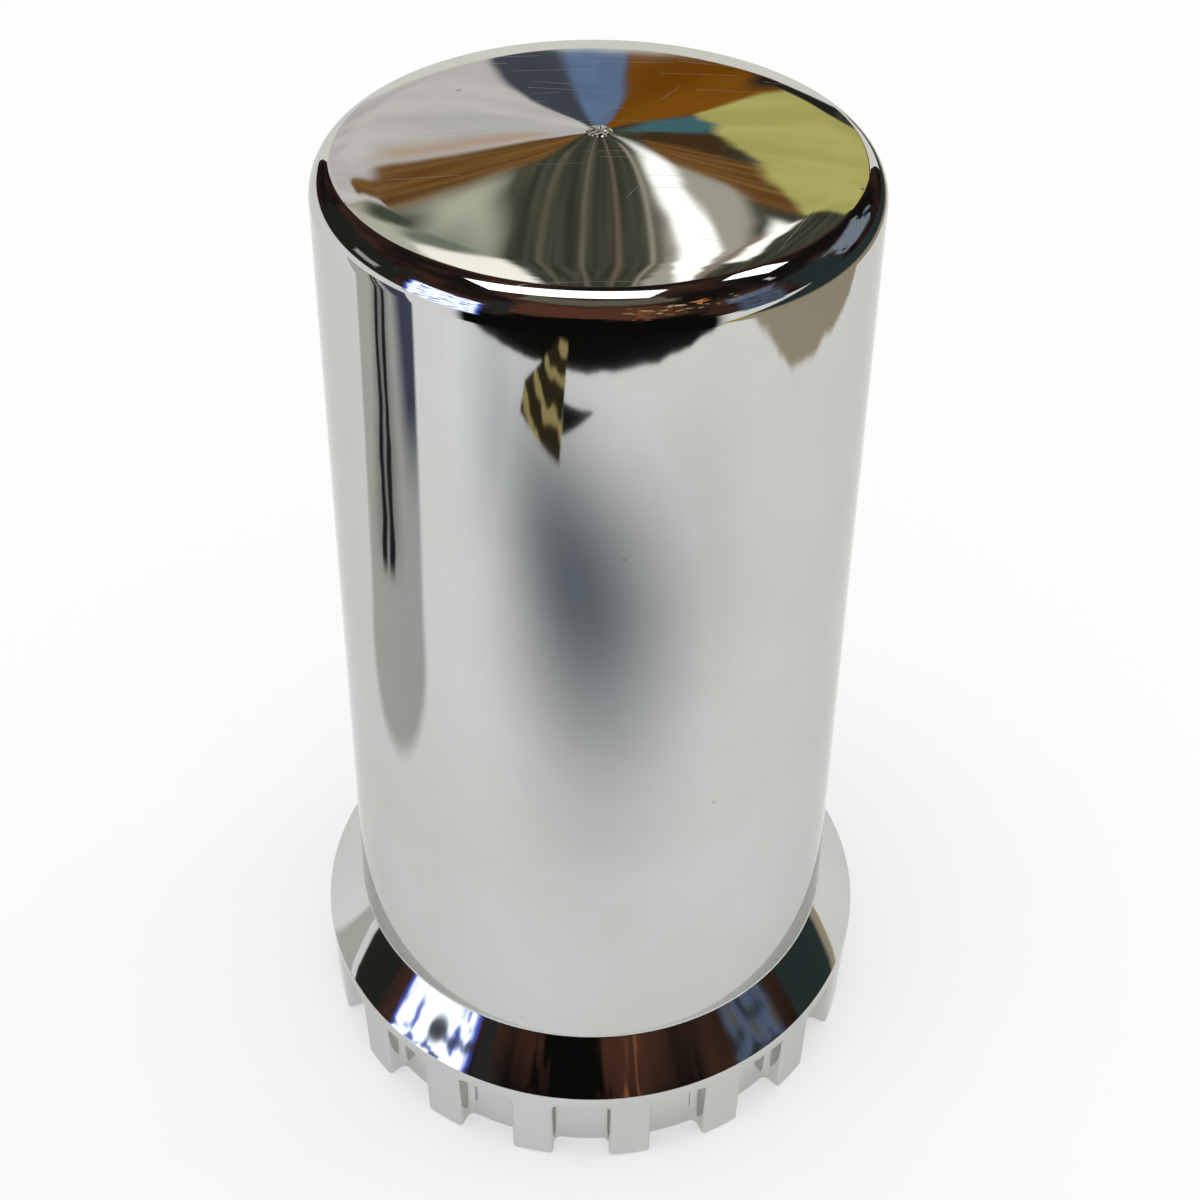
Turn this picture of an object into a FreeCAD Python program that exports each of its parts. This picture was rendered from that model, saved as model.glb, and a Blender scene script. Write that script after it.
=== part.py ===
import FreeCAD, Part
import math
import os

# Tall push-on cap for a flanged wheel nut: one moulded and plated piece.
# Millimetres, +Z up along the cap's axis, origin at the centre of the foot.

# Driving dimensions
overall_height = 104.8
tube_base_radius = 26.4
tube_draft_deg = 1.73
wall = 2.4
skirt_wall = 2.3
roof_wall = 2.5
flange_width = 4.2
cone_slope_deg = 50.5
skirt_height = 11.4
band_height = 1.95
tooth_count = 18
tooth_width = 4.5
tooth_depth = 2.1
rim_drop = 2.49
rim_radius = 3.3
rim_slope_deg = 27.0
lip_round = 1.0
shoulder_width = 1.57
shoulder_slope_deg = 8.0
shoulder_round = 30.0
gate_radius = 1.1
gate_height = 0.25
edge_break = 0.35
foot_chamfer = 0.5
flange_break = 0.3
junction_round = 0.5
core_corner = 1.2
pocket_corner = 0.9
nut_across_flats = 33.0
grip_interference = 0.1
rib_count = 12
rib_thickness = 1.6
rib_draft_deg = 0.25
rib_lead_deg = 40.0
mouth_chamfer = 0.6
rib_foot_clearance = 0.8

# Dependent sizes
flange_radius = tube_base_radius + flange_width
join_height = skirt_height + flange_width * math.tan(math.radians(cone_slope_deg))
draft = math.tan(math.radians(tube_draft_deg))
rim_slope = math.radians(rim_slope_deg)
shoulder_slope = math.radians(shoulder_slope_deg)
rim_height = overall_height - rim_drop
rim_corner_radius = tube_base_radius - (rim_height - join_height) * draft
rim_turn = math.radians(90 - tube_draft_deg) - rim_slope
lip_turn = rim_slope - shoulder_slope
rim_run = rim_radius * math.tan(rim_turn / 2) + lip_round * math.tan(lip_turn / 2)
lip_radius = rim_corner_radius - rim_run * math.cos(rim_slope)
lip_height = rim_height + rim_run * math.sin(rim_slope)
crown_radius = lip_radius - shoulder_width
crown_height = lip_height + shoulder_width * math.tan(shoulder_slope)
pocket_floor_radius = flange_radius - tooth_depth
pocket_top = skirt_height - band_height
mouth_radius = pocket_floor_radius - skirt_wall
rib_half_pitch = math.pi / rib_count
grip_radius = nut_across_flats / 2 / math.cos(rib_half_pitch) - grip_interference

axis_origin = FreeCAD.Vector(0, 0, 0)
axis_up = FreeCAD.Vector(0, 0, 1)


def point(radius, height):
    return FreeCAD.Vector(radius, 0, height)


def rounded_profile(corners):
    """Closed face in the XZ plane. Each corner is radius, height, rounding."""
    edges = []
    count = len(corners)
    tangents = []
    for i in range(count):
        here = point(corners[i][0], corners[i][1])
        before = point(corners[i - 1][0], corners[i - 1][1])
        after = point(corners[(i + 1) % count][0], corners[(i + 1) % count][1])
        rounding = corners[i][2]
        if rounding <= 0:
            tangents.append((here, None, here))
            continue
        back = (before - here).normalize()
        ahead = (after - here).normalize()
        half = back.getAngle(ahead) / 2
        reach = rounding / math.tan(half)
        bisector = (back + ahead).normalize()
        centre = here + bisector * (rounding / math.sin(half))
        middle = centre - bisector * rounding
        tangents.append((here + back * reach, middle, here + ahead * reach))
    for i in range(count):
        start, middle, end = tangents[i]
        if middle is not None:
            edges.append(Part.Arc(start, middle, end).toShape())
        following = tangents[(i + 1) % count][0]
        if end.distanceToPoint(following) > 1e-6:
            edges.append(Part.LineSegment(end, following).toShape())
    return Part.Face(Part.Wire(edges))


def turned(corners):
    return rounded_profile(corners).revolve(axis_origin, axis_up, 360)


def around(shape, count, first_deg):
    copies = []
    for i in range(count):
        copy = shape.copy()
        copy.rotate(axis_origin, axis_up, first_deg + i * 360.0 / count)
        copies.append(copy)
    return copies


# Outside: skirt, conical shoulder, drafted tube, rounded rim with a crisp lip, and shallow pointed crown
# that rolls off towards the lip.
outside = turned([
    (0, 0, 0),
    (flange_radius, 0, 0),
    (flange_radius, skirt_height - flange_break, 0),
    (flange_radius - flange_break * 0.4, skirt_height, 0),
    (tube_base_radius, join_height, junction_round),
    (rim_corner_radius, rim_height, rim_radius),
    (lip_radius, lip_height, lip_round),
    (crown_radius, crown_height, shoulder_round),
    (gate_radius, overall_height, 0),
    (gate_radius * 0.6, overall_height + gate_height, 0),
    (0, overall_height + gate_height, 0),
])

# Pockets between the grip teeth: radial side walls, rounded upper corners, open at the foot.
pitch = 2 * math.pi / tooth_count
tooth_angle = tooth_width / flange_radius
pocket_half_angle = (pitch - tooth_angle) / 2
beyond = flange_radius + 3
sector = Part.Face(Part.Wire([
    Part.LineSegment(
        FreeCAD.Vector(pocket_floor_radius * math.cos(pocket_half_angle),
                       -pocket_floor_radius * math.sin(pocket_half_angle), -1),
        FreeCAD.Vector(beyond * math.cos(pocket_half_angle),
                       -beyond * math.sin(pocket_half_angle), -1)).toShape(),
    Part.Arc(
        FreeCAD.Vector(beyond * math.cos(pocket_half_angle),
                       -beyond * math.sin(pocket_half_angle), -1),
        FreeCAD.Vector(beyond, 0, -1),
        FreeCAD.Vector(beyond * math.cos(pocket_half_angle),
                       beyond * math.sin(pocket_half_angle), -1)).toShape(),
    Part.LineSegment(
        FreeCAD.Vector(beyond * math.cos(pocket_half_angle),
                       beyond * math.sin(pocket_half_angle), -1),
        FreeCAD.Vector(pocket_floor_radius * math.cos(pocket_half_angle),
                       pocket_floor_radius * math.sin(pocket_half_angle), -1)).toShape(),
    Part.Arc(
        FreeCAD.Vector(pocket_floor_radius * math.cos(pocket_half_angle),
                       pocket_floor_radius * math.sin(pocket_half_angle), -1),
        FreeCAD.Vector(pocket_floor_radius, 0, -1),
        FreeCAD.Vector(pocket_floor_radius * math.cos(pocket_half_angle),
                       -pocket_floor_radius * math.sin(pocket_half_angle), -1)).toShape(),
]))
pocket = sector.extrude(FreeCAD.Vector(0, 0, pocket_top + 1))
corner_edges = []
for edge in pocket.Edges:
    ends = [v.Point for v in edge.Vertexes]
    level = all(abs(p.z - pocket_top) < 1e-4 for p in ends)
    radial = edge.Curve.TypeId == "Part::GeomLine"
    if level and radial:
        corner_edges.append(edge)
pocket = pocket.makeFillet(pocket_corner, corner_edges)
first_pocket_deg = 180.0 / tooth_count
notched = outside.cut(around(pocket, tooth_count, first_pocket_deg))

# Soft edges on the teeth: the pocket outlines on the skirt and the foot are broken by small chamfers.
soft = []
for edge in notched.Edges:
    ends = [v.Point for v in edge.Vertexes]
    if any(p.z > pocket_top + 1e-3 for p in ends):
        continue
    on_skirt = all(abs(math.hypot(p.x, p.y) - flange_radius) < 1e-3 for p in ends)
    on_foot = all(abs(p.z) < 1e-4 for p in ends)
    if on_skirt and not on_foot:
        soft.append(edge)
notched = notched.makeChamfer(edge_break, soft)
foot_ring = turned([
    (flange_radius - foot_chamfer, 0, 0),
    (flange_radius - foot_chamfer - 1, -1, 0),
    (flange_radius + 1, -1, 0),
    (flange_radius + 1, foot_chamfer + 1, 0),
])
notched = notched.cut(foot_ring)

# Inside: stepped bore that follows the outer walls, with slots left for the grip ribs.
cone_angle = math.radians(cone_slope_deg)
shift_r = wall * math.sin(cone_angle)
shift_z = wall * math.cos(cone_angle)
lower_r = flange_radius - shift_r
lower_z = skirt_height - shift_z
mouth_top = lower_z + (lower_r - mouth_radius) * math.tan(cone_angle)
bore_base_radius = tube_base_radius - wall / math.cos(math.radians(tube_draft_deg))
bore_step = lower_z + (lower_r - bore_base_radius) * math.tan(cone_angle)
roof_height = crown_height - roof_wall
bore_top_radius = bore_base_radius - (roof_height - join_height) * draft
core = turned([
    (0, -1, 0),
    (mouth_radius + mouth_chamfer + 1, -1, 0),
    (mouth_radius, mouth_chamfer, 0),
    (mouth_radius, mouth_top, 0),
    (bore_base_radius, bore_step, 0),
    (bore_top_radius + core_corner * draft, roof_height - core_corner, 0),
    (bore_top_radius - core_corner, roof_height, 0),
    (0, roof_height, 0),
])
rib_foot = bore_step + rib_foot_clearance
rib_reach = tube_base_radius
rib_lead = (rib_reach - grip_radius) * math.tan(math.radians(rib_lead_deg))
rib_tip_drop = (overall_height - rib_foot) * math.tan(math.radians(rib_draft_deg))
rib = rounded_profile([
    (rib_reach, rib_foot, 0),
    (rib_reach, overall_height, 0),
    (grip_radius - rib_tip_drop, overall_height, 0),
    (grip_radius, rib_foot + rib_lead, 1.0),
])
rib = rib.extrude(FreeCAD.Vector(0, rib_thickness, 0))
rib.translate(FreeCAD.Vector(0, -rib_thickness / 2, 0))
slotted_core = core.cut(around(rib, rib_count, 180.0 / rib_count))

cap = notched.cut(slotted_core)
if cap.ShapeType != "Solid":
    cap = cap.Solids[0]

os.makedirs("parts", exist_ok=True)
cap.exportStep("parts/nut_cap.step")
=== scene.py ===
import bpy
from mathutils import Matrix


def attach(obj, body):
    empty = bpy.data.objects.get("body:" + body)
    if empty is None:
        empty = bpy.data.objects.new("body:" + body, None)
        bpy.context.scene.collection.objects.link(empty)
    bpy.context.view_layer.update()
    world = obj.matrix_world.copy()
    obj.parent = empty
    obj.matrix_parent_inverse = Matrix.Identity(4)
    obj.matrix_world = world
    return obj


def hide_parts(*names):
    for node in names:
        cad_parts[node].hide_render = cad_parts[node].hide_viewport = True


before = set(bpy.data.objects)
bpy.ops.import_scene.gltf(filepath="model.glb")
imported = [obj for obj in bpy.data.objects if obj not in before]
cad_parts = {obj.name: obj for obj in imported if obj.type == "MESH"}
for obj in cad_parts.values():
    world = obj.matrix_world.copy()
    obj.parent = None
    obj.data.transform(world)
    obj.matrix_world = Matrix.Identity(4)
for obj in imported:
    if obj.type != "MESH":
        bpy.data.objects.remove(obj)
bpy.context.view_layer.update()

import math
import random
import bpy
from mathutils import Matrix, Vector

MM = 0.001
DEG = 180 / math.pi

# Outside of the cap in millimetres, the same as in the part
OVERALL = 104.8
TUBE_R = 26.4
DRAFT_DEG = 1.73
DRAFT = math.tan(math.radians(DRAFT_DEG))
FLANGE_R = 30.6
SKIRT_H = 11.4
CONE_DEG = 50.5
JOIN_H = SKIRT_H + (FLANGE_R - TUBE_R) * math.tan(math.radians(CONE_DEG))
RIM_DROP = 2.49
RIM_H = OVERALL - RIM_DROP
RIM_R = TUBE_R - (RIM_H - JOIN_H) * DRAFT
RIM_ROUND = 3.3
RIM_SLOPE = math.radians(27)
LIP_ROUND = 1.0
SHOULDER_W = 1.57
SHOULDER_SLOPE = math.radians(8)
SHOULDER_ROUND = 30
RIM_RUN = (RIM_ROUND * math.tan((math.radians(90 - DRAFT_DEG) - RIM_SLOPE) / 2)
           + LIP_ROUND * math.tan((RIM_SLOPE - SHOULDER_SLOPE) / 2))
LIP_R = RIM_R - RIM_RUN * math.cos(RIM_SLOPE)
LIP_H = RIM_H + RIM_RUN * math.sin(RIM_SLOPE)
CROWN_R = LIP_R - SHOULDER_W
CROWN_H = LIP_H + SHOULDER_W * math.tan(SHOULDER_SLOPE)
GATE_R = 1.1

# Grip teeth and pockets of the skirt
TEETH = 18
TOOTH_W = 4.5
POCKET_DEPTH = 2.1
POCKET_CORNER = 0.9
BAND_H = 1.95
POCKET_TOP = SKIRT_H - BAND_H
CORNER_Z = POCKET_TOP - POCKET_CORNER
PITCH = 2 * math.pi / TEETH
HALF_POCKET = PITCH * FLANGE_R / 2 - TOOTH_W / 2
INNER_S = HALF_POCKET - POCKET_CORNER
CENTRE_S = HALF_POCKET + TOOTH_W / 2

# Bore and grip ribs
MOUTH_R = 26.2
MOUTH_CUT = 0.6
MOUTH_TOP = 12.96
WALL = 2.4
BORE_R = TUBE_R - WALL / math.cos(math.radians(DRAFT_DEG))
BORE_STEP = 15.63
ROOF_WALL = 2.5
ROOF_H = CROWN_H - ROOF_WALL
ROOF_CORNER = 1.2
ROOF_HOLE = 0.3
RIBS = 12
NUT_W = 33.0
BITE = 0.1
GRIP_R = NUT_W / 2 / math.cos(math.pi / RIBS) - BITE
RIB_FOOT = BORE_STEP + 0.8
RIB_LEAD = math.tan(math.radians(40))
RIB_FULL = RIB_FOOT + (TUBE_R - GRIP_R) * RIB_LEAD
RIB_DRAFT = math.tan(math.radians(0.25))
RIB_HALF = 0.8
RIB_TIP_HALF = 0.5
RIB_CUT = 0.3
RIB_SINK = 0.4
RIB_OVER = 0.3

# Roundings of the dressed piece
EDGE = 0.4
FILLET = 0.7
FOOT = 0.4
STRIP = 0.15
SUPPORT = HALF_POCKET + EDGE + STRIP
CONE_FOOT = SKIRT_H - 0.15
BAND_TOP = CONE_FOOT - 0.12
CONE_FOOT_ROUND = 0.3
JOIN_ROUND = 0.45
WALL_ROWS = (2.2, 4.4, 6.6, CORNER_Z)

# Rough stub of the moulding gate: radius, height and roughness of each ring, then the height of its tip
STUB_RINGS = ((1.03, 0.0, 0.04), (0.9, 0.1, 0.13), (0.66, 0.11, 0.17), (0.42, 0.12, 0.16), (0.2, 0.13, 0.12))
STUB_TIP = 0.16


class Surface:
    """Collects welded vertices and faces, with exact normals where they are known."""

    def __init__(self):
        self.points = []
        self.faces = []
        self.exact = {}
        self.index = {}

    def vertex(self, angle, radius, height, normal=None):
        x = radius * math.cos(angle)
        y = radius * math.sin(angle)
        key = (round(x, 3), round(y, 3), round(height, 3))
        if key not in self.index:
            self.index[key] = len(self.points)
            self.points.append(Vector((x, y, height)))
        found = self.index[key]
        if normal is not None:
            nr, nz = normal
            self.exact[found] = Vector((nr * math.cos(angle), nr * math.sin(angle), nz)).normalized()
        return found

    def face(self, *corners):
        ring = []
        for corner in corners:
            if corner not in ring:
                ring.append(corner)
        if len(ring) > 2:
            self.faces.append(ring)

    def grid(self, rows, flip=False):
        """Joins rows of vertices of equal length with quads."""
        for low, high in zip(rows, rows[1:]):
            for i in range(len(low) - 1):
                quad = (low[i], low[i + 1], high[i + 1], high[i])
                self.face(*(reversed(quad) if flip else quad))

    def turned(self, angles, profile, flip=False):
        """Turns radius, height and normal of each profile point into rings, and gives back the last ring."""
        previous = None
        for radius, height, normal in profile:
            row = [self.vertex(a, radius, height, normal) for a in angles]
            row.append(row[0])
            if previous is not None:
                self.grid([previous, row], flip)
            previous = row
        return previous

    def mesh(self, name):
        """Makes the mesh, smooth up to 35 degrees, with the exact normals where a face agrees with them."""
        mesh = bpy.data.meshes.new(name)
        mesh.from_pydata([p * MM for p in self.points], [], self.faces)
        mesh.polygons.foreach_set("use_smooth", [True] * len(mesh.polygons))
        normals = [p.normal.copy() for p in mesh.polygons]
        areas = [p.area for p in mesh.polygons]
        around = {}
        for p in mesh.polygons:
            for v in p.vertices:
                around.setdefault(v, []).append(p.index)
        limit = math.cos(math.radians(35))
        loops = []
        for p in mesh.polygons:
            own = normals[p.index]
            for v in p.vertices:
                known = self.exact.get(v)
                if known is not None and known.dot(own) > 0.6:
                    loops.append(known)
                    continue
                total = Vector((0, 0, 0))
                for q in around[v]:
                    if normals[q].dot(own) > limit:
                        total += normals[q] * areas[q]
                loops.append(total.normalized() if total.length > 0 else own)
        mesh.normals_split_custom_set(loops)
        return mesh


def lerp(a, b, t):
    return a + (b - a) * t


def rounded_rows(corners):
    """Points with normals along a turned profile.

    Each corner is radius, height, rounding, steps of its arc and steps of the line after it.
    """
    legs = []
    for i, corner in enumerate(corners):
        here = Vector(corner[:2])
        rounding = corner[2]
        if rounding == 0:
            legs.append((here, here, None))
            continue
        back = (Vector(corners[i - 1][:2]) - here).normalized()
        ahead = (Vector(corners[i + 1][:2]) - here).normalized()
        half = back.angle(ahead) / 2
        reach = rounding / math.tan(half)
        centre = here + (back + ahead).normalized() * (rounding / math.sin(half))
        legs.append((here + back * reach, here + ahead * reach, centre))
    rows = []
    for i, (start, end, centre) in enumerate(legs):
        arc_steps, line_steps = corners[i][3:]
        if centre is not None:
            arm = start - centre
            turn = arm.angle_signed(end - centre)
            outward = 1 if turn > 0 else -1
            for k in range(arc_steps + 1):
                spoke = Matrix.Rotation(-turn * k / arc_steps, 2) @ arm
                rows.append((centre + spoke, spoke.normalized() * outward))
        if i + 1 < len(legs):
            target = legs[i + 1][0]
            run = (target - end).normalized()
            normal = Vector((run.y, -run.x))
            first = 1 if centre is not None else 0
            last = line_steps if legs[i + 1][2] is not None else line_steps + 1
            for k in range(first, last):
                rows.append((end.lerp(target, k / line_steps), normal))
    return rows


def plan_section():
    """Section of the skirt from the middle of a pocket to the middle of a tooth, and its edges alone.

    Each point is its distance s along the flange, its depth under the flange and its normal.
    """
    plan = [(INNER_S * k / 4, POCKET_DEPTH, (0, 1)) for k in range(5)]
    first = len(plan)
    plan.append((HALF_POCKET - FILLET - STRIP, POCKET_DEPTH, (0, 1)))
    for k in range(6):
        a = math.pi / 2 * k / 5
        plan.append((HALF_POCKET - FILLET + FILLET * math.sin(a), POCKET_DEPTH - FILLET * (1 - math.cos(a)),
                     (-math.sin(a), math.cos(a))))
    plan.append((HALF_POCKET, lerp(EDGE, POCKET_DEPTH - FILLET, 0.5), (-1, 0)))
    for k in range(7):
        a = math.pi / 2 * k / 6
        plan.append((HALF_POCKET + EDGE * (1 - math.cos(a)), EDGE * (1 - math.sin(a)),
                     (-math.cos(a), math.sin(a))))
    plan.append((SUPPORT, 0, (0, 1)))
    last = len(plan)
    plan.append((lerp(SUPPORT, CENTRE_S, 0.5), 0, (0, 1)))
    plan.append((CENTRE_S, 0, (0, 1)))
    return plan, plan[first:last]


def half_pocket(cap, plan, swept, middle, side):
    """One half of a pocket with the near half of the tooth beside it."""
    flip = side < 0

    def place(s, depth, z):
        return cap.vertex(middle + side * s / FLANGE_R, FLANGE_R - depth, z)

    # Foot rounding and upright walls
    rows = []
    for k in range(5):
        a = math.pi / 2 * k / 4
        inset = FOOT * (1 - math.sin(a))
        z = FOOT * (1 - math.cos(a))
        rows.append([place(s - ns * inset * FLANGE_R / (FLANGE_R - depth), depth + nr * inset, z)
                     for s, depth, (ns, nr) in plan])
    for z in WALL_ROWS:
        rows.append([place(s, depth, z) for s, depth, normal in plan])
    cap.grid(rows, flip)

    # Flat underside of the foot
    under = [cap.vertex(middle + side * s / FLANGE_R, MOUTH_R + MOUTH_CUT, 0) for s, depth, normal in plan]
    cap.grid([under, rows[0]], flip)

    # Rounded upper corner and lintel of the pocket, swept along its outline
    tip_reach = POCKET_CORNER + SUPPORT - HALF_POCKET
    bands = []
    for k in range(13):
        a = math.pi / 2 * k / 12
        row = []
        for s, depth, normal in swept:
            reach = POCKET_CORNER + s - HALF_POCKET
            row.append(place(INNER_S + reach * math.cos(a), depth, CORNER_Z + reach * math.sin(a)))
        if k <= 6:
            edge = (CENTRE_S, lerp(CORNER_Z, BAND_TOP, k / 6))
        else:
            edge = (lerp(CENTRE_S, INNER_S, (k - 6) / 6), BAND_TOP)
        tip = (INNER_S + tip_reach * math.cos(a), CORNER_Z + tip_reach * math.sin(a))
        row.append(place(lerp(tip[0], edge[0], 0.5), 0, lerp(tip[1], edge[1], 0.5)))
        row.append(place(edge[0], 0, edge[1]))
        bands.append(row)
    for k in range(3, -1, -1):
        s0 = INNER_S * k / 4
        row = [place(s0, depth, POCKET_TOP + s - HALF_POCKET) for s, depth, normal in swept]
        row.append(place(s0, 0, lerp(POCKET_TOP + SUPPORT - HALF_POCKET, BAND_TOP, 0.5)))
        row.append(place(s0, 0, BAND_TOP))
        bands.append(row)
    cap.grid(bands, flip)

    # Pocket floor between the upright part and the lintel
    floor_top = POCKET_TOP - FILLET - STRIP
    low = [place(INNER_S * k / 4, POCKET_DEPTH, CORNER_Z) for k in range(5)]
    high = [place(INNER_S * k / 4, POCKET_DEPTH, floor_top) for k in range(5)]
    cap.grid([low, high], flip)
    for k in range(12):
        fan = (low[4], bands[k][0], bands[k + 1][0])
        cap.face(*(reversed(fan) if flip else fan))


def ring_of(stops):
    """Angles all the way round, from distances between the middle of a pocket and that of a tooth."""
    angles = []
    for p in range(TEETH):
        middle = PITCH * (p + 0.5)
        angles += [middle - s / FLANGE_R for s in reversed(stops[1:])]
        angles += [middle + s / FLANGE_R for s in stops[:-1]]
    return angles


def outside_profile():
    """Shoulder, tube, rim and crown."""
    rows = rounded_rows([
        (FLANGE_R, BAND_TOP, 0, 0, 1), (FLANGE_R, CONE_FOOT, CONE_FOOT_ROUND, 4, 6),
        (TUBE_R, JOIN_H, JOIN_ROUND, 5, 26), (RIM_R, RIM_H, RIM_ROUND, 14, 1),
        (LIP_R, LIP_H, LIP_ROUND, 6, 1), (CROWN_R, CROWN_H, SHOULDER_ROUND, 6, 12),
        (GATE_R, OVERALL, 0, 0, 1)])
    return [(point.x, point.y, (normal.x, normal.y)) for point, normal in rows]


def gate_stub(cap, angles, previous):
    """Rough stub in the middle of the crown, from its last ring inwards."""
    rng = random.Random(7)
    for radius, height, rough in STUB_RINGS:
        lobes = [(rng.uniform(0.2, 1.0), n, rng.uniform(0, 6.3)) for n in (3, 5, 8, 13, 17)]
        row = []
        for a in angles:
            wave = sum(amp * math.sin(n * a + phase) for amp, n, phase in lobes) / len(lobes)
            row.append(cap.vertex(a, radius * (1 + wave * 0.1), OVERALL + height + rough * wave))
        row.append(row[0])
        cap.grid([previous, row])
        previous = row
    tip = cap.vertex(0, 0, OVERALL + STUB_TIP)
    for i in range(len(angles)):
        cap.face(previous[i], previous[i + 1], tip)


def bore_radius(z):
    return BORE_R - (z - JOIN_H) * DRAFT


def bore(cap, spokes):
    """Stepped bore and roof."""
    profile = [(MOUTH_R + MOUTH_CUT, 0), (MOUTH_R, MOUTH_CUT), (MOUTH_R, MOUTH_TOP), (BORE_R, BORE_STEP)]
    for k in range(1, 7):
        z = lerp(BORE_STEP, ROOF_H - ROOF_CORNER, k / 6)
        profile.append((bore_radius(z), z))
    top_r = bore_radius(ROOF_H)
    profile += [(top_r - ROOF_CORNER, ROOF_H), (top_r * 0.5, ROOF_H), (ROOF_HOLE, ROOF_H)]
    last = cap.turned(spokes, [(r, z, None) for r, z in profile], flip=True)
    centre = cap.vertex(0, 0, ROOF_H)
    for i in range(len(spokes)):
        cap.face(last[i + 1], last[i], centre)


def ribs(cap):
    """Grip ribs with a lead-in at their feet."""
    start = RIB_FULL + 0.4
    heights = [RIB_FOOT + 1.9, RIB_FULL - 0.5, start]
    heights += [lerp(start, ROOF_H + RIB_OVER, k / 5) for k in range(1, 6)]
    for n in range(RIBS):
        middle = 2 * math.pi * (n + 0.5) / RIBS
        rows = []
        for z in heights:
            wall = bore_radius(z) + RIB_SINK
            if z < RIB_FULL:
                tip = TUBE_R - (z - RIB_FOOT) / RIB_LEAD
            else:
                tip = GRIP_R - (z - RIB_FOOT) * RIB_DRAFT
            tip = min(tip, wall)
            cut = tip + min(RIB_CUT, wall - tip)
            half = [(wall, RIB_HALF), (cut, RIB_HALF), (tip, RIB_TIP_HALF)]
            corners = [(r, -t) for r, t in half] + half[::-1]
            rows.append([cap.vertex(middle + math.atan2(t, r), math.hypot(r, t), z) for r, t in corners])
        cap.grid(rows, flip=True)
        cap.face(*rows[0])


def build_cap():
    cap = Surface()
    plan, swept = plan_section()
    for p in range(TEETH):
        for side in (1, -1):
            half_pocket(cap, plan, swept, PITCH * (p + 0.5), side)
    stops = [INNER_S * k / 4 for k in range(5)] + [lerp(INNER_S, CENTRE_S, k / 6) for k in range(1, 7)]
    angles = ring_of(stops)
    gate_stub(cap, angles, cap.turned(angles, outside_profile()))
    bore(cap, ring_of([s for s, depth, normal in plan]))
    ribs(cap)
    return cap.mesh("plated_cap")


class Tree:
    """Short names for the shader nodes used here."""

    def __init__(self, owner):
        owner.use_nodes = True
        self.tree = owner.node_tree
        self.tree.nodes.clear()

    def node(self, kind, **values):
        made = self.tree.nodes.new(kind)
        for key, value in values.items():
            setattr(made, key, value)
        return made

    def link(self, source, target):
        self.tree.links.new(source, target)

    def feed(self, target, value):
        if hasattr(value, "is_linked"):
            self.link(value, target)
        else:
            target.default_value = value

    def math(self, operation, a, b=0.0, c=0.0):
        made = self.node("ShaderNodeMath", operation=operation)
        for target, value in zip(made.inputs, (a, b, c)):
            self.feed(target, value)
        return made.outputs[0]

    def largest(self, first, *others):
        for other in others:
            first = self.math("MAXIMUM", first, other)
        return first

    def product(self, first, *others):
        for other in others:
            first = self.math("MULTIPLY", first, other)
        return first

    def hypot(self, a, b):
        return self.math("SQRT", self.math("MULTIPLY_ADD", a, a, self.math("MULTIPLY", b, b)))

    def ramp(self, value, low, high, to_low=0.0, to_high=1.0, smooth=True):
        made = self.node("ShaderNodeMapRange", interpolation_type="SMOOTHSTEP" if smooth else "LINEAR")
        self.feed(made.inputs[0], value)
        for target, number in zip(made.inputs[1:5], (low, high, to_low, to_high)):
            self.feed(target, number)
        return made.outputs[0]

    def between(self, value, low, high, soft):
        """Soft mask of a range."""
        return self.math("MULTIPLY", self.ramp(value, low - soft, low + soft),
                         self.ramp(value, high - soft, high + soft, 1.0, 0.0))

    def box(self, u, v, size, soft):
        """Soft mask of a rectangle: u0, u1, v0, v1."""
        u0, u1, v0, v1 = size
        return self.math("MULTIPLY", self.between(u, u0, u1, soft), self.between(v, v0, v1, soft))

    def mix(self, factor, a, b):
        """Blends two colours. A colour is a socket or a tuple of red, green and blue."""
        made = self.node("ShaderNodeMix", data_type="RGBA")
        self.feed(made.inputs[0], factor)
        for target, colour in ((made.inputs[6], a), (made.inputs[7], b)):
            self.feed(target, colour + (1,) if isinstance(colour, tuple) else colour)
        return made.outputs[2]

    def noise(self, vector, scale, detail=2.0, rough=0.5):
        made = self.node("ShaderNodeTexNoise")
        self.link(vector, made.inputs["Vector"])
        made.inputs["Scale"].default_value = scale
        made.inputs["Detail"].default_value = detail
        made.inputs["Roughness"].default_value = rough
        return made.outputs[0]

    def swing(self, scale, detail):
        """Noise about zero."""
        return self.math("SUBTRACT", self.noise(self.place(), scale, detail), 0.5)

    def place(self):
        return self.node("ShaderNodeTexCoord").outputs["Object"]

    def stretched(self, scale):
        made = self.node("ShaderNodeMapping")
        self.link(self.place(), made.inputs["Vector"])
        made.inputs["Scale"].default_value = scale
        return made.outputs[0]

    def split(self, kind, source):
        made = self.node(kind)
        self.link(source, made.inputs[0])
        return made.outputs

    def finish(self, shader, kind="ShaderNodeOutputMaterial"):
        self.link(shader.outputs[0], self.node(kind).inputs[0])


# Scratches on the crown: direction in degrees, width of a lane in millimetres, share of lanes with a scratch
SCRATCHES = ((4, 0.9, 0.45), (-9, 1.3, 0.4), (64, 2.6, 0.35))
SCRATCH_FROM, SCRATCH_FULL = 101.5 * MM, 102.5 * MM
SCRATCH_REACH = 19 * MM
SCRATCH_SHORT, SCRATCH_LONG = 0.8 * MM, 4.5 * MM
SCRATCH_W = 0.03


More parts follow.
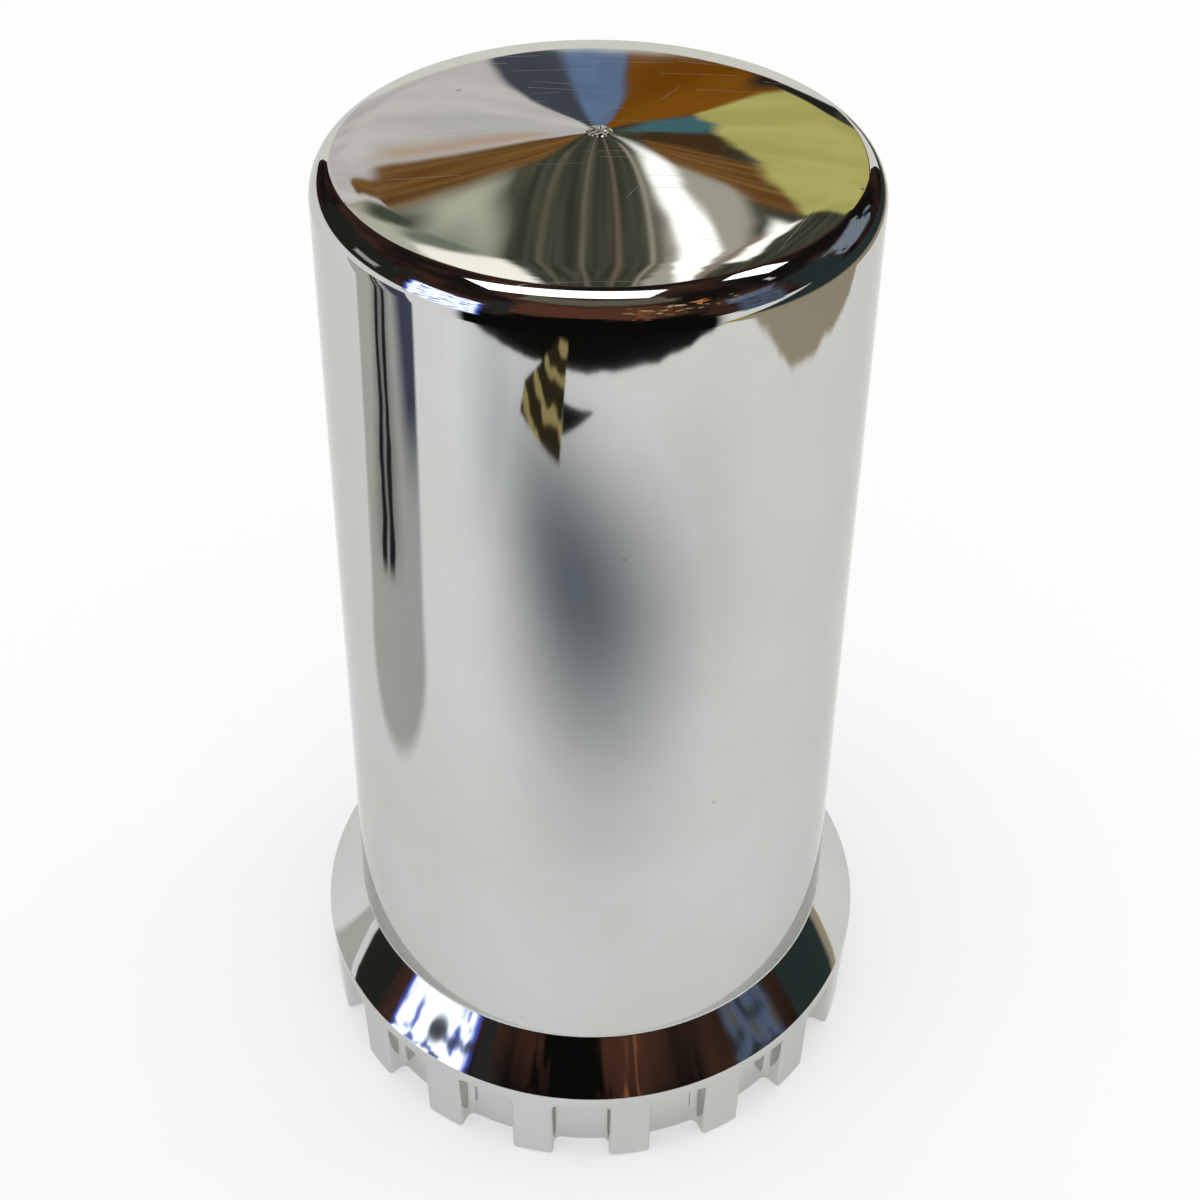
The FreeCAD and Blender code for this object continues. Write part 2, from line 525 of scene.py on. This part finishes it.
def scratch_mask(t, place):
    """One short straight line in some of many narrow lanes, in each direction."""
    x, y, z = t.split("ShaderNodeSeparateXYZ", place)
    on_top = t.ramp(z, SCRATCH_FROM, SCRATCH_FULL)
    scratches = 0.0
    for turn_deg, lane, share in SCRATCHES:
        cos, sin = math.cos(math.radians(turn_deg)), math.sin(math.radians(turn_deg))
        along = t.math("ADD", t.math("MULTIPLY", x, cos), t.math("MULTIPLY", y, sin))
        across = t.math("SUBTRACT", t.math("MULTIPLY", y, cos), t.math("MULTIPLY", x, sin))
        track = t.math("DIVIDE", across, lane * MM)
        draw = t.node("ShaderNodeTexWhiteNoise", noise_dimensions="1D")
        t.link(t.math("FLOOR", t.math("ADD", track, turn_deg * 10.0)), draw.inputs["W"])
        odds = t.split("ShaderNodeSeparateColor", draw.outputs["Color"])
        middle = t.ramp(odds[0], 0.0, 1.0, -SCRATCH_REACH, SCRATCH_REACH, smooth=False)
        reach = t.ramp(odds[1], 0.0, 1.0, SCRATCH_SHORT, SCRATCH_LONG, smooth=False)
        offset = t.math("ABSOLUTE", t.math("SUBTRACT", t.math("FRACT", track), 0.5))
        line = t.ramp(offset, 0.0, SCRATCH_W / lane, 1.0, 0.0)
        span = t.math("LESS_THAN", t.math("ABSOLUTE", t.math("SUBTRACT", along, middle)), reach)
        kept = t.math("LESS_THAN", odds[2], share)
        scratches = t.math("MAXIMUM", t.product(line, span, kept, on_top), scratches)
    return scratches


def pit_mask(t, place):
    """Pits and specks in a few cells of the plating."""
    cells = t.node("ShaderNodeTexVoronoi", feature="F1")
    t.link(place, cells.inputs["Vector"])
    cells.inputs["Scale"].default_value = 330.0
    lottery = t.split("ShaderNodeSeparateColor", cells.outputs["Color"])
    return t.math("MULTIPLY", t.ramp(cells.outputs["Distance"], 0.03, 0.11, 1.0, 0.0),
                  t.ramp(lottery[0], 0.9, 0.93))


def chrome():
    """Bright plating with haze, faint ripple, pits and hairline scratches."""
    mat = bpy.data.materials.new("bright_plating")
    t = Tree(mat)
    place = t.place()
    scratches = scratch_mask(t, place)
    pits = pit_mask(t, place)

    haze = t.noise(place, 45.0, 4.0, 0.6)
    base = t.mix(t.ramp(haze, 0.35, 0.7), (0.61, 0.615, 0.605), (0.575, 0.575, 0.555))
    base = t.mix(t.math("MULTIPLY", scratches, 0.35), base, (0.3, 0.29, 0.27))
    base = t.mix(t.math("MULTIPLY", pits, 0.75), base, (0.2, 0.19, 0.17))
    rough = t.ramp(haze, 0.3, 0.75, 0.02, 0.05)
    rough = t.math("ADD", rough, t.math("MULTIPLY", scratches, 0.3))
    rough = t.math("ADD", rough, t.math("MULTIPLY", pits, 0.3))

    ripple = t.math("MULTIPLY", t.noise(place, 70.0, 2.0), 0.10)
    bump = t.node("ShaderNodeBump")
    bump.inputs["Strength"].default_value = 0.12
    bump.inputs["Distance"].default_value = 0.0004
    t.link(t.math("ADD", ripple, t.math("MULTIPLY", pits, -0.12)), bump.inputs["Height"])

    shader = t.node("ShaderNodeBsdfPrincipled")
    shader.inputs["Metallic"].default_value = 1.0
    shader.inputs["Specular Tint"].default_value = (0.8, 0.8, 0.79, 1)
    t.link(base, shader.inputs["Base Color"])
    t.link(rough, shader.inputs["Roughness"])
    t.link(bump.outputs[0], shader.inputs["Normal"])
    t.finish(shader)
    return mat


cap = bpy.data.objects.new("plated_cap", build_cap())
bpy.context.scene.collection.objects.link(cap)
cap.data.materials.append(chrome())
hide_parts("nut_cap")
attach(cap, "root")

# Camera at the photo's place: eye in millimetres, angles in radians, focal length in pixels of the photo
YAW = math.radians(1.4)
PAN, TILT, ROLL = 0.0048, -0.7228, 0.0146
EYE = (0, -125.89104, 165.12672)
FOCAL_PX = 1655.07
PHOTO_PX = 1200
SENSOR = 36
SPIN = Matrix.Rotation(YAW, 3, "Z")


def placed(a, b, c, at):
    """Matrix of an object with axes a, b and c at a point."""
    return Matrix(((a.x, b.x, c.x, at.x), (a.y, b.y, c.y, at.y), (a.z, b.z, c.z, at.z), (0, 0, 0, 1)))


def add_camera():
    forward = Vector((math.sin(PAN) * math.cos(TILT), math.cos(PAN) * math.cos(TILT), math.sin(TILT)))
    right = forward.cross(Vector((0, 0, 1))).normalized()
    up = right.cross(forward)
    rolled_right = SPIN @ (right * math.cos(ROLL) + up * math.sin(ROLL))
    rolled_up = SPIN @ (up * math.cos(ROLL) - right * math.sin(ROLL))
    lens = bpy.data.cameras.new("camera")
    lens.sensor_fit = "HORIZONTAL"
    lens.sensor_width = SENSOR
    lens.lens = FOCAL_PX / PHOTO_PX * SENSOR
    lens.clip_start = 0.005
    camera = bpy.data.objects.new("camera", lens)
    camera.matrix_world = placed(rolled_right, rolled_up, -(SPIN @ forward), SPIN @ (Vector(EYE) * MM))
    bpy.context.scene.collection.objects.link(camera)
    bpy.context.scene.camera = camera


add_camera()


# Stage: pale floor, soft light, and tone cards that only the plating mirrors
def stage_object(name, mesh, centre, across, upward, seen):
    obj = bpy.data.objects.new(name, mesh)
    a = (SPIN @ Vector(across)).normalized()
    n = a.cross(SPIN @ Vector(upward)).normalized()
    obj.matrix_world = placed(a, n.cross(a), n, SPIN @ Vector(centre))
    bpy.context.scene.collection.objects.link(obj)
    if not seen:
        obj.visible_camera = False
        obj.visible_diffuse = False
        obj.visible_shadow = False
    return obj


def card(name, centre, across, upward, width, height, seen=False):
    mesh = bpy.data.meshes.new(name)
    w, h = width / 2, height / 2
    mesh.from_pydata([(-w, -h, 0), (w, -h, 0), (w, h, 0), (-w, h, 0)], [], [(0, 1, 2, 3)])
    return stage_object(name, mesh, centre, across, upward, seen)


def floor_card(name, height, width, depth, seen=False):
    return card(name, (0, 0, height), (1, 0, 0), (0, 1, 0), width, depth, seen)


def upright_card(name, az_deg, el_deg, width, height):
    """Card one metre away, turned to the cap: degrees off the front and degrees of elevation."""
    a, e = math.radians(az_deg), math.radians(el_deg)
    spot = Vector((math.sin(a) * math.cos(e), -math.cos(a) * math.cos(e), math.sin(e)))
    return card(name, spot, (-spot.y, spot.x, 0), (0, 0, 1), width, height)


def glow(name, build, strength=1.0):
    """Emission material whose colour and cover come from build(tree, x, y, z)."""
    mat = bpy.data.materials.new(name)
    t = Tree(mat)
    colour, cover = build(t, *t.split("ShaderNodeSeparateXYZ", t.place()))
    light = t.node("ShaderNodeEmission")
    t.feed(light.inputs["Color"], colour)
    light.inputs["Strength"].default_value = strength
    clear = t.node("ShaderNodeBsdfTransparent")
    blend = t.node("ShaderNodeMixShader")
    t.feed(blend.inputs[0], cover)
    t.link(clear.outputs[0], blend.inputs[1])
    t.link(light.outputs[0], blend.inputs[2])
    t.finish(blend)
    return mat


FLOOR_LIFT = 0.5


def pale_floor():
    """Matt and pale, lifted a little where the camera and the plating see it."""
    mat = bpy.data.materials.new("pale_floor")
    t = Tree(mat)
    grain = t.noise(t.place(), 9.0, 3.0)
    matt = t.node("ShaderNodeBsdfDiffuse")
    t.link(t.mix(grain, (0.93, 0.93, 0.925), (0.91, 0.91, 0.905)), matt.inputs[0])
    lift = t.node("ShaderNodeEmission")
    lift.inputs["Color"].default_value = (0.985, 0.985, 0.98, 1)
    path = t.node("ShaderNodeLightPath")
    looked_at = t.largest(path.outputs["Is Camera Ray"], path.outputs["Is Glossy Ray"],
                          path.outputs["Is Transmission Ray"])
    blend = t.node("ShaderNodeMixShader")
    t.link(t.math("MULTIPLY", looked_at, FLOOR_LIFT), blend.inputs[0])
    t.link(matt.outputs[0], blend.inputs[1])
    t.link(lift.outputs[0], blend.inputs[2])
    t.finish(blend)
    return mat


# Card behind the cap, mirrored by the crown
BACK_Y = 1.2
BACK_LIFT = 0.70
BACK_FOOT = 0.103


def back_tones(t, u, v, w):
    """Tone patches placed by degrees off straight back and degrees of elevation, with uneven edges."""
    uneven = t.node("ShaderNodeTexNoise")
    t.link(t.place(), uneven.inputs["Vector"])
    uneven.inputs["Scale"].default_value = 8.0
    uneven.inputs["Detail"].default_value = 3.0
    drift = t.split("ShaderNodeSeparateColor", uneven.outputs["Color"])
    straight = t.math("MULTIPLY", t.math("ARCTAN2", u, BACK_Y), DEG * 0.94)
    side = t.math("MULTIPLY_ADD", t.math("SUBTRACT", drift[0], 0.5), 3.0, straight)
    flat = t.math("SQRT", t.math("MULTIPLY_ADD", u, u, BACK_Y * BACK_Y))
    rise = t.math("MULTIPLY", t.math("ARCTAN2", t.math("ADD", v, BACK_LIFT), flat), DEG)
    rise = t.math("MULTIPLY_ADD", t.math("SUBTRACT", drift[1], 0.5), 2.2, rise)
    slanted = t.math("MULTIPLY_ADD", t.math("SUBTRACT", rise, 22.0), -0.5, side)
    low = t.math("MULTIPLY_ADD", t.math("MINIMUM", t.math("SUBTRACT", side, 9.3), 0.0), 0.6, rise)
    leaning = t.math("MULTIPLY_ADD", t.math("SUBTRACT", rise, 36.6), -0.22, side)

    def blob(axis, centre, reach, soft):
        where = t.node("ShaderNodeCombineXYZ")
        t.link(axis, where.inputs[0])
        t.link(rise, where.inputs[1])
        moved = t.node("ShaderNodeMapping", vector_type="TEXTURE")
        t.link(where.outputs[0], moved.inputs["Vector"])
        moved.inputs["Location"].default_value = centre + (0,)
        moved.inputs["Scale"].default_value = reach + (1,)
        far = t.node("ShaderNodeVectorMath", operation="LENGTH")
        t.link(moved.outputs[0], far.inputs[0])
        return t.ramp(far.outputs["Value"], 1 - soft, 1 + soft, 1.0, 0.0)

    def box(size, soft):
        return t.box(side, rise, size, soft)

    def stripe(size, soft):
        return t.box(straight, rise, size, soft)

    grain = t.noise(t.stretched((5, 90, 1)), 1.0, 3.0)
    stripes = t.ramp(t.noise(t.stretched((60, 4, 1)), 1.0, 2.0), 0.35, 0.7)
    smear = t.ramp(t.noise(t.stretched((4, 14, 1)), 1.0, 4.0), 0.38, 0.62)
    brown = t.mix(t.ramp(grain, 0.35, 0.65), (0.29, 0.145, 0.04), (0.12, 0.055, 0.016))
    grey = t.mix(smear, (0.65, 0.63, 0.615), (0.8, 0.76, 0.73))
    amber = t.mix(smear, (0.20, 0.068, 0.003), (0.27, 0.10, 0.008))
    yellow = t.mix(smear, (0.53, 0.49, 0.15), (0.62, 0.57, 0.19))
    blue = t.mix(smear, (0.11, 0.17, 0.30), (0.19, 0.28, 0.46))
    colour = t.mix(stripes, (0.045, 0.047, 0.03), (0.1, 0.1, 0.07))
    for tone, mask in (
            (grey, box((-40, -3.0, 14, 27.8), 0.35)),
            (grey, box((-40, -12.0, 27, 31.8), 0.35)),
            ((0.62, 0.47, 0.36), box((-12, -5.4, 25.0, 26.6), 0.8)),
            (brown, box((-12.3, -4.4, 27.2, 31.7), 0.35)),
            (brown, box((-16, -12, 28.4, 30.6), 0.35)),
            ((0.6, 0.6, 0.48), box((-40, -6.8, 31.8, 60), 1.1)),
            ((0.2, 0.24, 0.19), blob(side, (-11.0, 36.8), (3.3, 2.5), 0.5)),
            ((0.07, 0.09, 0.06), blob(side, (-13.6, 33.1), (3.3, 1.5), 0.45)),
            ((1.3, 1.28, 1.15), box((-15, -6.0, 39.0, 60), 0.8)),
            ((0.07, 0.08, 0.105), blob(side, (-2.2, 15.7), (3.3, 3.6), 0.08)),
            (blue, box((-1.7, 1.3, 10, 21), 0.5)),
            (amber, box((1.3, 9.6, 10, 20.9), 0.35)),
            ((0.07, 0.18, 0.20), box((4.0, 7.6, 20.9, 24.4), 0.6)),
            ((0.07, 0.04, 0.016), box((5.0, 8.8, 24.4, 28), 0.5)),
            (brown, box((5.4, 11.8, 27.6, 31.8), 0.35)),
            (yellow, t.box(slanted, low, (7.0, 40, 18.6, 32.0), 0.35)),
            ((0.02, 0.02, 0.018), box((7.8, 14, 15.4, 18.5), 0.6)),
            ((0.5, 0.48, 0.4), box((4.1, 9.3, 31.2, 60), 0.6)),
            ((1.7, 1.7, 1.65), blob(leaning, (6.2, 39.0), (1.5, 9.0), 0.25)),
            ((0.36, 0.27, 0.22), box((9.3, 10.2, 34.5, 60), 0.35)),
            ((1.6, 1.58, 1.5), box((10.2, 12.3, 32.8, 41), 0.4)),
            ((0.16, 0.15, 0.11), stripe((-4.0, -3.6, 32, 60), 0.25)),
            ((0.22, 0.2, 0.15), stripe((-1.2, -0.9, 32, 60), 0.2)),
            ((0.25, 0.18, 0.14), stripe((1.2, 1.5, 32, 60), 0.2)),
            ((0.5, 0.47, 0.36), stripe((3.4, 3.7, 32, 60), 0.2)),
            ((0.92, 0.91, 0.85), box((-60, 60, -10, 15.2), 0.3))):
        colour = t.mix(mask, colour, tone)
    return colour, 1.0


# Upright cards: the shoulder mirrors a strip across them that climbs with this slope
STRIP_SLOPE = 0.28


def blots(t, u, slant):
    """Noise that looks round where the shoulder mirrors an upright card."""
    where = t.node("ShaderNodeCombineXYZ")
    t.link(t.math("MULTIPLY", u, 9.0), where.inputs[0])
    t.link(t.math("MULTIPLY", slant, 60.0), where.inputs[1])
    return t.noise(where.outputs[0], 1.0, 2.0)


def panel_tones(t, u, v, w):
    """Bright patch with cold blue edges, dark blots and one round dark spot."""
    edge = t.math("ADD", u, t.math("MULTIPLY", t.swing(9.0, 2.0), 0.07))
    slant = t.math("MULTIPLY_ADD", u, -STRIP_SLOPE, v)
    patches = blots(t, u, slant)
    bright = t.math("MULTIPLY", t.box(edge, v, (-0.25, 0.23, -0.26, 0.26), 0.02),
                    t.ramp(patches, 0.5, 0.56, 1.0, 0.0))
    colour = t.mix(bright, (0.10, 0.17, 0.9), (2.1, 2.3, 2.6))
    colour = t.mix(t.ramp(patches, 0.56, 0.62), colour, (0.05, 0.06, 0.08))
    far = t.hypot(t.math("DIVIDE", t.math("SUBTRACT", u, 0.02), 0.065),
                  t.math("DIVIDE", t.math("ADD", slant, 0.038), 0.011))
    colour = t.mix(t.ramp(far, 0.75, 1.1, 1.0, 0.0), colour, (0.02, 0.02, 0.025))
    return colour, t.box(edge, v, (-0.28, 0.26, -0.3, 0.3), 0.02)


def dim_tones(t, u, v, w):
    """Dim blue and olive blots."""
    blot = blots(t, u, t.math("MULTIPLY_ADD", u, STRIP_SLOPE, v))
    colour = t.mix(t.ramp(blot, 0.42, 0.5), (0.035, 0.04, 0.035), (0.12, 0.16, 0.27))
    colour = t.mix(t.ramp(blot, 0.58, 0.64), colour, (0.14, 0.13, 0.07))
    return colour, t.box(u, v, (-0.16, 0.16, -0.22, 0.22), 0.04)


# Cards that lie on the floor, in metres from the cap's axis
def front_tones(t, u, v, w):
    """Soft cold painted shade, a bluish-white pool of painted light, a gold patch with a black tongue, and a
    black patch farther out.
    """
    def blob(x0, y0, rx, ry):
        return t.hypot(t.math("DIVIDE", t.math("SUBTRACT", u, x0), rx),
                       t.math("DIVIDE", t.math("SUBTRACT", v, y0), ry))

    def near(x0, y0, x1, y1, soft):
        """Mask of what lies on the near side of a line."""
        slope = (y1 - y0) / (x1 - x0)
        line = t.math("MULTIPLY_ADD", u, slope, y0 - x0 * slope)
        return t.ramp(t.math("SUBTRACT", v, line), -soft, soft, 1.0, 0.0)

    def beyond(*line):
        return t.math("SUBTRACT", 1.0, near(*line))

    ragged = t.swing(30.0, 3.0)
    along = t.math("MULTIPLY_ADD", u, 5.5, t.math("MULTIPLY_ADD", v, 1.58, 0.273))
    across = t.math("MULTIPLY_ADD", v, 10.8, t.math("MULTIPLY_ADD", u, -3.1, 1.296))
    shade = t.ramp(t.hypot(along, across), 0.03, 1.03, 0.96, 0.0)
    warm = t.ramp(u, 0.0, 0.12, 0.0, 0.55)
    # Bluish-white patch brighter than white: a painted pool of light on the floor card.
    cold = t.ramp(blob(-0.13, -0.13, 0.085, 0.07), 0.3, 1.0, 0.8, 0.0)
    gold = t.product(beyond(-0.086, -0.163, -0.058, -0.191, 0.0015),
                     t.box(u, v, (-0.082, -0.036, -0.2, -0.154), 0.0015))
    tongue = t.product(near(-0.036, -0.164, -0.003, -0.176, 0.001),
                       beyond(-0.036, -0.176, -0.003, -0.177, 0.001),
                       t.box(u, v, (-0.037, 0.0, -0.2, -0.1), 0.001))
    turn = t.math("ARCTAN2", u, t.math("MULTIPLY", v, -1.0))
    limit = t.math("MULTIPLY_ADD", t.math("MULTIPLY", turn, turn), 0.0226, 0.191)
    past = t.math("SUBTRACT", t.math("MULTIPLY_ADD", ragged, 0.007, t.hypot(u, v)), limit)
    black = t.math("MULTIPLY", t.between(turn, -0.9, 0.8, 0.06), t.ramp(past, -0.0012, 0.0012))
    rings = t.math("MULTIPLY_ADD", blob(-0.03, -0.2, 0.01, 0.006), 2.4, t.math("MULTIPLY", ragged, 16.0))
    gilt = t.mix(t.ramp(t.math("SINE", rings), 0.1, 1.0), (0.03, 0.024, 0.012), (0.4, 0.32, 0.13))
    colour = t.mix(warm, (1.0, 1.0, 1.0), (0.92, 0.93, 0.82))
    colour = t.mix(cold, colour, (1.08, 1.12, 1.17))
    colour = t.mix(shade, colour, (0.10, 0.13, 0.16))
    colour = t.mix(t.largest(tongue, black), colour, (0.005, 0.005, 0.004))
    colour = t.mix(gold, colour, gilt)
    return colour, t.largest(shade, warm, cold, gold, tongue, black)


def left_tones(t, u, v, w):
    """Grey round-ended patch with two thin dark lines in it and a blue shade along one side."""
    tip = -0.095
    middle = -0.010
    across = t.math("SUBTRACT", v, middle)
    ahead = t.math("MAXIMUM", t.math("SUBTRACT", u, tip), 0.0)
    behind = t.math("MAXIMUM", t.math("SUBTRACT", tip, u), 0.0)
    limit = t.math("ADD", 0.026, t.math("MULTIPLY", behind, 0.28))
    cover = t.ramp(t.math("SUBTRACT", t.hypot(ahead, across), limit), -0.003, 0.003, 1.0, 0.0)
    colour = t.mix(t.ramp(across, -0.03, 0.03), (0.5, 0.51, 0.5), (0.58, 0.58, 0.53))
    shade = t.product(t.ramp(across, -0.034, -0.012, 1.0, 0.0), t.ramp(u, -0.16, -0.12, 1.0, 0.0))
    colour = t.mix(shade, colour, (0.07, 0.08, 0.12))
    wave = t.math("MULTIPLY", t.swing(30.0, 2.0), 0.012)
    line = t.math("ABSOLUTE", t.math("SUBTRACT", t.math("ADD", across, wave), 0.006))
    halo = t.product(t.ramp(line, 0.003, 0.024, 0.75, 0.0), t.ramp(u, -0.125, -0.1, 1.0, 0.0))
    colour = t.mix(halo, colour, (0.16, 0.17, 0.16))
    width = t.ramp(u, -0.19, -0.105, 0.0065, 0.004, smooth=False)
    thin = t.ramp(t.math("ABSOLUTE", t.math("SUBTRACT", line, width)), 0.0018, 0.0042, 1.0, 0.0)
    dark = t.product(thin, t.ramp(u, -0.112, -0.105, 1.0, 0.0))
    return t.mix(dark, colour, (0.02, 0.02, 0.025)), cover


def right_tones(t, u, v, w):
    """Tan beyond a ragged edge, dark farther out."""
    ragged = t.math("MULTIPLY", t.swing(16.0, 3.0), 0.025)
    cover = t.product(t.ramp(t.math("ADD", u, ragged), 0.175, 0.18), t.ramp(v, -0.2, -0.18))
    colour = t.mix(t.ramp(v, -0.2, -0.1), (0.45, 0.4, 0.06), (0.42, 0.365, 0.26))
    return t.mix(t.ramp(u, 0.22, 0.3), colour, (0.03, 0.045, 0.045)), cover


# Dim shell round the floor
SHELL_R = 2.05
SHELL_STEP = 15
SHELL_EYE = 0.09


def shell_mesh():
    rings = [math.radians(el) for el in range(0, 91, SHELL_STEP)]
    turns = [math.radians(az) for az in range(0, 360, SHELL_STEP)]
    points = [(SHELL_R * math.cos(e) * math.cos(a), SHELL_R * math.cos(e) * math.sin(a),
               SHELL_R * math.sin(e)) for e in rings for a in turns]
    count = len(turns)
    faces = []
    for r in range(len(rings) - 1):
        for i in range(count):
            j = (i + 1) % count
            faces.append((r * count + i, r * count + j, (r + 1) * count + j, (r + 1) * count + i))
    mesh = bpy.data.meshes.new("shell")
    mesh.from_pydata(points, [], faces)
    return mesh


def shell_tones(t, x, y, z):
    """Dark and warm patches placed by degrees off the front and degrees of elevation, with uneven edges."""
    flat = t.hypot(x, y)
    el = t.math("MULTIPLY", t.math("ARCTAN2", t.math("SUBTRACT", z, SHELL_EYE), flat), DEG)
    az = t.math("MULTIPLY", t.math("ARCTAN2", x, t.math("MULTIPLY", y, -1.0)), DEG)
    drift = t.swing(5.0, 3.0)
    el = t.math("MULTIPLY_ADD", drift, 4.0, el)
    az = t.math("MULTIPLY_ADD", drift, 22.0, az)
    mottle = t.ramp(t.noise(t.place(), 1.1, 3.0), 0.4, 0.68)
    colour = t.mix(mottle, (0.010, 0.009, 0.008), (0.075, 0.036, 0.024))
    for tone, size, soft in (
            ((0.13, 0.05, 0.03), (-36, 34, 18, 48), 5.0),
            ((0.005, 0.005, 0.004), (-19, 8, 10, 19.8), 1.0),
            ((0.005, 0.005, 0.004), (-45, 40, -20, 15), 4.0),
            ((0.3, 0.12, 0.05), (16.5, 18.5, 12, 40), 0.8),
            ((0.03, 0.03, 0.03), (-42, -33, 5, 40), 2.0),
            ((0.16, 0.15, 0.11), (-42, 42, 52, 66), 3.0),
            ((0.9, 0.8, 0.65), (32, 35, 38, 42), 0.8),
            ((0.8, 0.25, 0.06), (43, 47, 38, 44), 1.0),
            ((0.8, 0.75, 0.65), (79, 85, 39, 44), 1.0),
            ((0.16, 0.2, 0.3), (52, 72, 20, 30), 3.0),
            ((0.25, 0.3, 0.36), (104, 128, 7, 28), 2.0),
            ((0.022, 0.025, 0.02), (-128, -78, -20, 30), 4.0),
            ((0.028, 0.042, 0.042), (78, 103, -20, 30), 4.0),
            ((0.5, 0.47, 0.42), (-101, -90, 6, 13), 1.5)):
        colour = t.mix(t.box(az, el, size, soft), colour, tone)
    specks = t.product(t.ramp(t.noise(t.place(), 7.0, 2.0), 0.6, 0.66), t.box(az, el, (12, 58, 22, 44), 3.0))
    return t.mix(specks, colour, (0.55, 0.42, 0.2)), 1.0


floor = floor_card("floor", -0.0001, 8, 8, seen=True)
floor.data.materials.append(pale_floor())
back = card("back_card", (0, BACK_Y, BACK_FOOT + BACK_LIFT), (1, 0, 0), (0, 0, 1), 1.5, 1.7)
shell = stage_object("shell", shell_mesh(), (0, 0, 0), (1, 0, 0), (0, 1, 0), False)
for obj, build, strength in (
        (back, back_tones, 1.12),
        (upright_card("panel_card", -58, 15, 0.6, 0.55), panel_tones, 1.0),
        (upright_card("dim_card", 62, 12, 0.42, 0.55), dim_tones, 1.0),
        (floor_card("front_card", 0.0006, 4.2, 4.2), front_tones, 1.0),
        (floor_card("left_card", 0.0004, 0.9, 0.5), left_tones, 1.0),
        (floor_card("right_card", 0.0007, 4.2, 4.2), right_tones, 1.0),
        (shell, shell_tones, 1.0)):
    obj.data.materials.append(glow(obj.name + "_tones", build, strength))


# Soft lights overhead
def softbox(name, centre, width, depth, watts):
    lamp = bpy.data.lights.new(name, "AREA")
    lamp.shape = "RECTANGLE"
    lamp.size = width
    lamp.size_y = depth
    lamp.energy = watts
    light = bpy.data.objects.new(name, lamp)
    light.location = centre
    bpy.context.scene.collection.objects.link(light)


softbox("main_light", (-0.17, -0.2, 1.2), 0.9, 0.36, 2.6)
softbox("side_light", (0.72, 0.22, 1.2), 0.4, 0.26, 1.0)

# Plain pale surroundings that light the floor evenly
world = bpy.data.worlds.new("surroundings")
bpy.context.scene.world = world
t = Tree(world)
sky = t.node("ShaderNodeBackground")
sky.inputs["Color"].default_value = (0.91, 0.91, 0.91, 1)
t.finish(sky, "ShaderNodeOutputWorld")

bpy.context.scene.view_settings.view_transform = "Standard"
